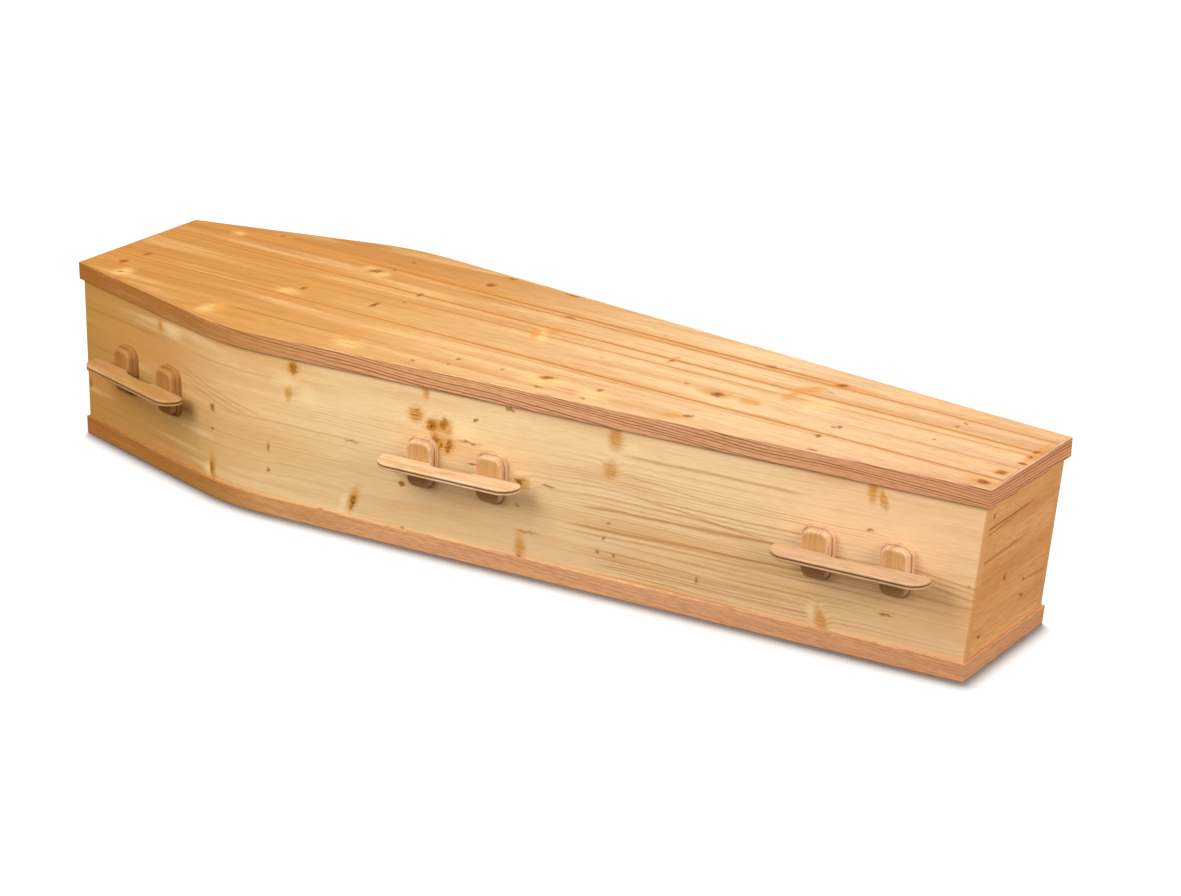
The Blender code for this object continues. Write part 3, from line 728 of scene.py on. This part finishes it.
SIDE_AMBER = (
    (0.617, 0.297, 0.014, 0.014, 0), (0.26, 0.292, 0.008, 0.012, 0), (0.605, 0.245, 0.008, 0.012, 0),
    (0.418, 0.06, 0.008, 0.024, 0), (0.876, 0.259, 0.016, 0.016, 0), (0.918, 0.246, 0.024, 0.015, 0),
    (0.94, 0.246, 0.012, 0.018, 0), (0.93, 0.216, 0.019, 0.015, 0), (0.944, 0.212, 0.011, 0.018, -20),
    (0.915, 0.23, 0.01, 0.01, 0), (0.742, 0.068, 0.01, 0.026, -20), (1.09, 0.053, 0.011, 0.024, 0),
    (1.092, 0.174, 0.016, 0.012, 0), (1.277, 0.296, 0.014, 0.022, 0), (1.672, 0.05, 0.01, 0.022, 20),
    (1.755, 0.3, 0.009, 0.02, 0), (1.774, 0.29, 0.007, 0.018, 20), (0.898, 0.306, 0.008, 0.012, 0),
    (1.268, 0.236, 0.014, 0.016, 0), (1.105, 0.084, 0.024, 0.003, 0))
SIDE_PALE = (
    (0.3, 0.292, 0.03, 0.014, 0), (0.402, 0.05, 0.012, 0.014, 0), (0.65, 0.25, 0.02, 0.02, 0),
    (0.6, 0.27, 0.03, 0.01, 0), (0.722, 0.058, 0.01, 0.022, -20), (1.655, 0.06, 0.01, 0.02, 0),
    (1.31, 0.285, 0.016, 0.012, 0), (0.975, 0.25, 0.02, 0.02, 0))
SIDE_LINES = (
    (0.26, 0.035, 0.003, 0.006, 0.7, (-0.05, 0.25)), (0.267, 0.01, 0.003, 0.005, 0.4, (0.37, 0.6)),
    (0.193, -0.03, 0.003, 0.005, 0.6, (-0.05, 0.12)), (0.302, -0.215, 0.0025, 0.0045, 0.45, (0.33, 0.53)),
    (0.29, -0.21, 0.0025, 0.0045, 0.4, (0.34, 0.51)), (0.278, -0.205, 0.0025, 0.0045, 0.35, (0.36, 0.5)),
    (0.064, -0.01, 0.0025, 0.004, 0.35, (-0.05, 0.4)), (0.172, 0.016, 0.003, 0.005, 0.4, (0.44, 0.76)),
    (0.112, 0.037, 0.003, 0.006, 0.8, (1.22, 1.62)), (0.085, 0.03, 0.003, 0.006, 0.75, (1.2, 1.68)),
    (0.074, 0.029, 0.003, 0.005, 0.55, (1.2, 1.66)), (0.256, 0.01, 0.004, 0.007, 0.6, (1.3, 1.62)),
    (0.306, -0.084, 0.0025, 0.005, 0.6, (1.32, 1.56)), (0.328, -0.075, 0.0025, 0.004, 0.4, (1.3, 1.5)),
    (0.108, -0.02, 0.003, 0.005, 0.45, (1.25, 1.6)), (0.062, 0.006, 0.003, 0.005, 0.5, (1.25, 1.64)),
    (0.048, 0.006, 0.004, 0.006, 0.55, (1.25, 1.66)), (0.39, -0.115, 0.0025, 0.005, 0.65, (1.82, 1.98)),
    (0.38, -0.115, 0.0025, 0.004, 0.6, (1.82, 1.98)), (0.369, -0.115, 0.0025, 0.005, 0.6, (1.82, 1.98)),
    (0.156, -0.012, 0.003, 0.005, 0.45, (1.8, 1.98)))


def side_pine():
    """One planed pine board a side, bent round the shoulder, with satin varnish.

    The eye sees pale straw wood, darker and browner on the head stretch, partly its own tone and partly
    painted shade, groups of fine wavy growth lines towards the foot and small knots with amber patches.
    Painted shade makes it darker towards the bottom. The sawn foot end takes more varnish and is browner.
    """
    wood = new_wood("planed_pine_side", 0.008, 0.0006)
    tree = wood.tree
    x, z, tone = coffin_place(tree)
    # Darker towards the head: partly the wood's own tone, partly painted shade
    base = add(tree, RAMP, {0: tone}, stops=((0.0, "#BB8A45"), (0.14, "#C39557"), (0.23, "#E2B980"),
                                             (0.36, "#EBCB99"), (0.7, "#F0CE9F"), (1.0, "#EBC294")))[0]
    rough = rough_place(wood)
    knot = nearest_patch(tree, rough, SIDE_KNOTS)
    from_amber = nearest_patch(tree, rough, SIDE_AMBER)
    by_amber = add(tree, RANGE, {0: from_amber, 1: 2.4, 2: 0.4}, **SMOOTH)[0]
    bent = add(tree, MATH, {0: by_amber, 1: 0.009, 2: wood.across}, operation="MULTIPLY_ADD")[0]
    amber = add(tree, RANGE, {0: from_amber, 1: 1.6, 2: 0.3}, **SMOOTH)[0]
    # Painted shade: the side is darkened towards its bottom edge
    lower = add(tree, RANGE, {0: wood.across, 1: 0.26, 2: 0.03}, **SMOOTH)[0]
    toward_foot = add(tree, RANGE, {0: wood.along, 1: 1.10, 2: 1.32, 3: 0.45, 4: 1.0}, **SMOOTH)[0]
    before_foot = add(tree, RANGE, {0: wood.along, 1: 1.90, 2: 1.62, 3: 0.30, 4: 1.0}, **SMOOTH)[0]
    below_top = add(tree, RANGE, {0: wood.across, 1: 0.29, 2: 0.20, 3: 0.25, 4: 1.0}, **SMOOTH)[0]
    rings = growth_rings(wood, bent, 0.007, 0.016, 2.6, 0.35)
    fibre = streaks(wood, 0.030, 0.0026, 9.9, 0.35, 0.70)
    streaky = add(tree, RANGE, {0: fibre, 1: 0.0, 2: 0.8, 3: 0.70, 4: 1.0})[0]
    upright = add(tree, MATH, {0: z, 1: -FOOT_RAKE / WALL_HEIGHT, 2: x}, operation="MULTIPLY_ADD")[0]
    end_face = add(tree, RANGE, {0: upright, 1: foot_plane(0) - 0.003, 2: foot_plane(0) - 0.0012})[0]
    colour = stained(tree, base, [
        ("#A3722E", 0.20, lower),
        ("#CC8F4C", 0.38, streaks(wood, 0.40, 0.036, 1.3, 0.42, 0.72)),
        ("#F2D2A0", 0.45, streaks(wood, 0.30, 0.028, 6.4, 0.52, 0.75)),
        ("#AA7030", 0.62, rings, toward_foot, before_foot, below_top),
        ("#B98242", 0.14, fibre),
        ("#B0763A", 0.90, latewood_lines(wood, SIDE_LINES)),
        ("#F3D5A2", 0.50, patch_share(tree, rough, SIDE_PALE, 1.5, 0.2)),
        ("#C4842C", 0.88, amber, streaky),
        ("#94601F", 0.80, patch_share(tree, rough, SIDE_FAINT, 1.5, 0.3)),
        *knot_layers(tree, rough, knot, "#B57726", "#6E451A", "#4E300E"),
        ("#C8894C", 0.75, end_face)])
    return varnished(wood, colour, fibre, 0.45, 0.30, 0.08)


END_KNOTS = (
    (-0.032, 0.152, 0.003, 0.007, 0), (0.046, 0.121, 0.003, 0.004, 0), (0.044, 0.092, 0.006, 0.003, -20),
    (-0.1, 0.067, 0.006, 0.003, -20), (-0.11, 0.29, 0.004, 0.003, 0))
END_PATCHES = (
    (0.112, 0.158, 0.014, 0.015, 0), (-0.03, 0.135, 0.005, 0.02, 0))
END_LINES = (
    (0.2685, 0.01, 0.003, 0.006, 0.85, (-0.2, 0.03)), (0.263, 0.05, 0.0025, 0.004, 0.6, (-0.2, -0.03)),
    (0.209, 0.01, 0.0035, 0.007, 0.6, (-0.2, 0.02)), (0.125, -0.09, 0.003, 0.006, 0.5, (0.05, 0.16)))


def end_pine():
    """Planed pine boards across the ends, with satin varnish: the redder heartwood gives an orange brown."""
    wood = new_wood("planed_pine_end", 0.005, 0.0008)
    tree = wood.tree
    rough = rough_place(wood)
    fibre = streaks(wood, 0.025, 0.0026, 5.5, 0.35, 0.70)
    colour = stained(tree, linear("#E0A76C"), [
        ("#C68448", 0.60, streaks(wood, 0.30, 0.045, 8.3, 0.30, 0.75)),
        ("#9A5E2C", 0.42, growth_rings(wood, wood.across, 0.0052, 0.010, 7.1, 0.25)),
        ("#A2642E", 0.32, fibre),
        ("#94581F", 1.0, latewood_lines(wood, END_LINES)),
        ("#DE9148", 0.60, patch_share(tree, rough, END_PATCHES, 1.4, 0.3)),
        ("#85501F", 0.85, patch_share(tree, rough, END_KNOTS, 1.7, 0.4))])
    return varnished(wood, colour, fibre, 0.45, 0.30, 0.08)


def lath_pine():
    """Redder pine laths with satin varnish, sawn so that the growth rings show as close dark lines.

    The rings leave the edge at a slight slant, and are plainest from the shoulder on and round the lid. The
    laths' top faces have the lid's tones.
    """
    wood = new_wood("slash_sawn_pine_lath", 0.010, 0.0004)
    tree = wood.tree
    tone = coffin_place(tree)[2]
    height = wood.parts[1]
    # Darker towards the head: partly the wood's own tone, partly painted shade
    base = add(tree, RAMP, {0: tone}, stops=((0.0, "#A8692A"), (0.2, "#AF773A"), (0.4, "#DAA273"),
                                             (0.7, "#D9A278"), (1.0, "#D0956A")))[0]
    slanted = add(tree, MATH, {0: wood.along, 1: 0.050, 2: wood.across}, operation="MULTIPLY_ADD")[0]
    past_head = add(tree, RANGE, {0: wood.along, 1: 0.30, 2: 0.75, 3: 0.40, 4: 1.0}, **SMOOTH)[0]
    at_lid = add(tree, RANGE, {0: height, 1: 0.1, 2: 0.2, 3: 0.28, 4: 1.0})[0]
    on_top = add(tree, RANGE, {0: height, 1: LID_TOP - 0.001, 2: LID_TOP - 0.0002})[0]
    rings = growth_rings(wood, slanted, 0.0054, 0.010, 4.4, 0.60, 0.30, 0.55)
    fibre = streaks(wood, 0.022, 0.0018, 9.1, 0.38, 0.72)
    colour = stained(tree, base, [
        ("#E6B07C", 0.50, streaks(wood, 0.16, 0.012, 3.3, 0.45, 0.75), past_head),
        ("#7E4A2A", 1.0, rings, past_head, at_lid),
        ("#9A5C34", 0.40, fibre),
        (add(tree, RAMP, {0: tone}, stops=LID_TONES)[0], 0.60, on_top)])
    return varnished(wood, colour, fibre, 0.45, 0.30, 0.08)


def new_beech(name):
    """A fine straight-grained wood whose fibres lean as they go deeper, and its fibre."""
    wood = new_wood(name, 0.002, 0.0004)
    leaning = {0: wood.parts[2], 1: 0.6, 2: wood.across}
    wood.across = add(wood.tree, MATH, leaning, operation="MULTIPLY_ADD")[0]
    return wood, streaks(wood, 0.028, 0.0016, 2.2, 0.42, 0.72)


def bar_wood():
    """Moulded hardwood bars with a pinkish cast, like steamed beech, under satin varnish.

    The eye sees short close fibre lines along the bar, a slight painted highlight on its edge, and a dark
    line of painted shade in the groove half way up. Bars nearer the head are darker, partly their own tone
    and partly painted shade.
    """
    wood, fibre = new_beech("moulded_beech_bar")
    tree = wood.tree
    tone = coffin_place(tree)[2]
    # Darker towards the head: partly the wood's own tone, partly painted shade
    base = add(tree, RAMP, {0: tone}, stops=((0.0, "#AB7B3C"), (0.18, "#B18245"), (0.42, "#EEC79B"),
                                             (1.0, "#C6A381")))[0]
    half = BAR_THICKNESS / 2
    from_groove = add(tree, MATH, {0: wood.parts[2], 1: BAR_MIDDLE}, operation="SUBTRACT")[0]
    from_groove = add(tree, MATH, {0: from_groove}, operation="ABSOLUTE")[0]
    # Painted shade in the groove of the edge
    groove = add(tree, RANGE, {0: from_groove, 1: 0.0026, 2: 0.0008}, **SMOOTH)[0]
    # Painted highlight: the edge is made slightly paler
    ridge = add(tree, RANGE, {0: from_groove, 1: half - 0.0004, 2: half - 0.0014}, **SMOOTH)[0]
    colour = stained(tree, base, [
        ("#C3966A", 0.80, streaks(wood, 0.12, 0.011, 6.6, 0.35, 0.75)),
        ("#9C6E4A", 0.42, fibre),
        ("#EBC898", 0.06, ridge),
        ("#6E431B", 0.90, groove)])
    return varnished(wood, colour, fibre, 0.42, 0.30, 0.08)


def block_wood():
    """The same moulded hardwood standing on end: its flat field takes up more varnish and is browner.

    The eye sees upright fibre lines, a paler greyish pink crown round the field, and a dark line of painted
    shade in the groove where the body meets its back plate. Under the bar the wood is darker with painted
    shade, and blocks nearer the head are darker, partly their own tone and partly painted shade.
    """
    wood, fibre = new_beech("moulded_beech_block")
    tree = wood.tree
    depth = wood.parts[2]
    z, tone = coffin_place(tree)[1:]
    # Darker towards the head: partly the wood's own tone, partly painted shade
    base = add(tree, RAMP, {0: tone}, stops=((0.0, "#A06E2C"), (0.18, "#A87838"), (0.42, "#DFB68C"),
                                             (1.0, "#DAB18A")))[0]
    field_tone = add(tree, RAMP, {0: tone}, stops=((0.0, "#946422"), (0.18, "#9C6C2C"), (0.42, "#C09055"),
                                                   (1.0, "#C0935A")))[0]
    field = add(tree, RANGE, {0: depth, 1: BLOCK_DEPTH - 0.0008, 2: BLOCK_DEPTH - 0.0001})[0]
    # Painted shade: a dark line in the groove at the foot of the body
    from_joint = add(tree, MATH, {0: depth, 1: BLOCK_PLATE}, operation="SUBTRACT")[0]
    from_joint = add(tree, MATH, {0: from_joint}, operation="ABSOLUTE")[0]
    joint = add(tree, RANGE, {0: from_joint, 1: 0.0011, 2: 0.0003}, **SMOOTH)[0]
    # Painted shade: the wood is darkened under the bar
    bar_low = HANDLE_RISE + BAR_RISE - BAR_THICKNESS
    under_bar_shade = add(tree, RANGE, {0: z, 1: bar_low + 0.001, 2: bar_low - 0.003})[0]
    colour = stained(tree, base, [
        (field_tone, 0.85, field),
        ("#B08252", 0.55, streaks(wood, 0.12, 0.009, 6.6, 0.35, 0.75)),
        ("#8E623C", 0.40, fibre),
        ("#84562E", 0.12, joint),
        ("#6E4416", 0.48, under_bar_shade)])
    return varnished(wood, colour, fibre, 0.42, 0.30, 0.08)


def base_pine():
    """Bare planed pine for the underside and other hidden faces: the same wood, plainer."""
    wood = new_wood("bare_pine_base", 0.006, 0.0008, has_grain=False)
    fibre = streaks(wood, 0.035, 0.003, 4.8, 0.35, 0.70)
    colour = stained(wood.tree, linear("#DDB27A"), [
        ("#B98548", 0.55, growth_rings(wood, wood.across, 0.011, 0.011, 1.9, 0.5)),
        ("#BE8A4E", 0.25, fibre)])
    return varnished(wood, colour, fibre, 0.60, 0.30, 0.0)


def make_stage():
    """A plain white floor, wide enough to fill the view."""
    half = 30.0
    corners = [(-half, -half, 0), (half, -half, 0), (half, half, 0), (-half, half, 0)]
    mesh = bpy.data.meshes.new("studio_floor")
    mesh.from_pydata(corners, [], [(0, 1, 2, 3)])
    material, tree = new_material("white_studio_floor")
    shader = add(tree, "ShaderNodeBsdfPrincipled", {"Base Color": linear("#B4B4B4"), "Roughness": 0.9,
                                                    "Specular IOR Level": 0.1})[0]
    add(tree, "ShaderNodeOutputMaterial", {0: shader})
    mesh.materials.append(material)
    floor = bpy.data.objects.new("studio_floor", mesh)
    floor.visible_diffuse = False
    floor.visible_glossy = False
    bpy.context.scene.collection.objects.link(floor)
    return floor


def soft_box(name, place, target, size, power, receivers, blockers):
    """A square light of power watts aimed at target, for the receivers only, shaded by the blockers only."""
    light = bpy.data.lights.new(name, "AREA")
    light.shape = "SQUARE"
    light.size = size
    light.energy = power
    lamp = bpy.data.objects.new(name, light)
    lamp.location = place
    lamp.rotation_euler = (Vector(target) - Vector(place)).to_track_quat("-Z", "Y").to_euler()
    lamp.light_linking.receiver_collection = receivers
    lamp.light_linking.blocker_collection = blockers
    lamp.visible_glossy = False
    bpy.context.scene.collection.objects.link(lamp)


def light_group(name, objects):
    """A collection of objects, outside the scene, for lights to be linked to."""
    group = bpy.data.collections.new(name)
    for piece in objects:
        group.objects.link(piece)
    return group


def make_light(floor):
    """White surroundings, four soft boxes on the coffin, and overhead light on the floor alone.

    The surroundings are brightest overhead, and plain white where they are seen straight. The fill box on
    the right isn't shaded by the handles, so the main shadow of each handle falls to its lower right. The
    overhead light comes a little from behind and only the base laths block it, so it leaves a narrow soft
    shadow along the coffin's near edges.
    """
    scene = bpy.context.scene
    scene.view_settings.view_transform = "Standard"
    world = bpy.data.worlds.new("studio")
    world.use_nodes = True
    scene.world = world
    sky = world.node_tree
    sky.nodes.clear()
    height = add(sky, SPLIT, {0: add(sky, "ShaderNodeTexCoord")["Generated"]})[2]
    share = add(sky, RANGE, {0: height, 1: -0.10, 2: 1.0})[0]
    seen = add(sky, "ShaderNodeLightPath")["Is Camera Ray"]
    share = add(sky, MATH, {0: share, 1: seen}, operation="MAXIMUM")[0]
    colour = add(sky, RAMP, {0: share}, stops=((0.0, "#6A573F"), (1.0, "#FFFFFF")))[0]
    add(sky, "ShaderNodeOutputWorld", {0: add(sky, "ShaderNodeBackground", {0: colour, 1: 1.0})[0]})
    pieces = [piece for piece in scene.objects if piece.type == "MESH" and piece is not floor]
    coffin = light_group("coffin", pieces)
    body = light_group("body", [piece for piece in pieces if "handle" not in piece.name])
    soft_box("left_soft_box", (-1.5, -2.9, 2.5), (0.0, 0.0, 0.2), 2.4, 126.0, coffin, coffin)
    for name, power, blockers in (("right_soft_box", 125.0, coffin), ("right_fill_box", 90.0, body)):
        soft_box(name, (4.9, -1.6, 2.3), (0.6, 0.0, 0.15), 2.4, power, coffin, blockers)
    soft_box("back_soft_box", (-1.2, 3.3, 1.5), (0.0, 0.0, 0.2), 1.3, 85.0, coffin, coffin)
    overhead = bpy.data.lights.new("overhead_light", "SUN")
    overhead.energy = 7.4
    overhead.angle = math.radians(44)
    lamp = bpy.data.objects.new("overhead_light", overhead)
    lamp.rotation_euler = Vector((0.50, -0.62, -1)).to_track_quat("-Z", "Y").to_euler()
    lamp.light_linking.receiver_collection = light_group("floor_only", [floor])
    base = [piece for piece in pieces if piece.name.startswith("base_lath_moulding")]
    lamp.light_linking.blocker_collection = light_group("base_only", base)
    scene.collection.objects.link(lamp)


def make_camera():
    """The photo's view: 22 degrees down and 34 degrees round from the near side towards the foot."""
    photo_width, focal_pixels, film_width, distance = 1181, 3104.15, 36.0, 5.51055
    pitch, yaw, roll = math.radians(21.659), math.radians(33.898), math.radians(1.087)
    look = Vector((-math.sin(yaw) * math.cos(pitch), math.cos(yaw) * math.cos(pitch), -math.sin(pitch)))
    level = look.cross(Vector((0, 0, 1))).normalized()
    up = level.cross(look)
    right = level * math.cos(roll) + up * math.sin(roll)
    up = up * math.cos(roll) - level * math.sin(roll)
    target = Vector((0.14598, -0.06573, 0.2))
    data = bpy.data.cameras.new("camera")
    data.sensor_width = film_width
    data.lens = focal_pixels / photo_width * film_width
    camera = bpy.data.objects.new("camera", data)
    turn = Matrix((right, up, -look)).transposed().to_4x4()
    camera.matrix_world = Matrix.Translation(target - look * distance) @ turn
    bpy.context.scene.collection.objects.link(camera)
    bpy.context.scene.camera = camera


def dress_frame():
    """Gives every CAD node its surface: two flat boards keep their shape, and the rest are drawn finer."""
    lid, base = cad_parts["lid_board"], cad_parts["base_board"]
    for board, material in ((lid, lid_pine()), (base, base_pine())):
        board.data.materials.clear()
        board.data.materials.append(material)
    lath = lath_pine()
    make_sides(side_pine())
    make_ends(end_pine())
    make_laths("base_lath_moulding", "base_lath", VISIBLE_JOINT, BASE_LATH, 0, LATH_HEIGHT,
               lambda z: (HEAD_X - VISIBLE_JOINT, HEAD_X - BASE_LATH),
               lambda z: (foot_plane(z) + VISIBLE_JOINT, foot_plane(z) + BASE_LATH), lath)
    edge = LID_CLEARANCE - GAP + VISIBLE_JOINT
    make_laths("lid_lath_moulding", "lid_lath", edge, LID_OVERHANG, LID_TOP - LATH_HEIGHT, LID_TOP,
               lambda z: (HEAD_X - edge, HEAD_X - LID_OVERHANG),
               lambda z: (FOOT_X + edge, FOOT_X + LID_OVERHANG), lath)
    make_handles(bar_wood(), block_wood())


dress_frame()
make_light(make_stage())
make_camera()
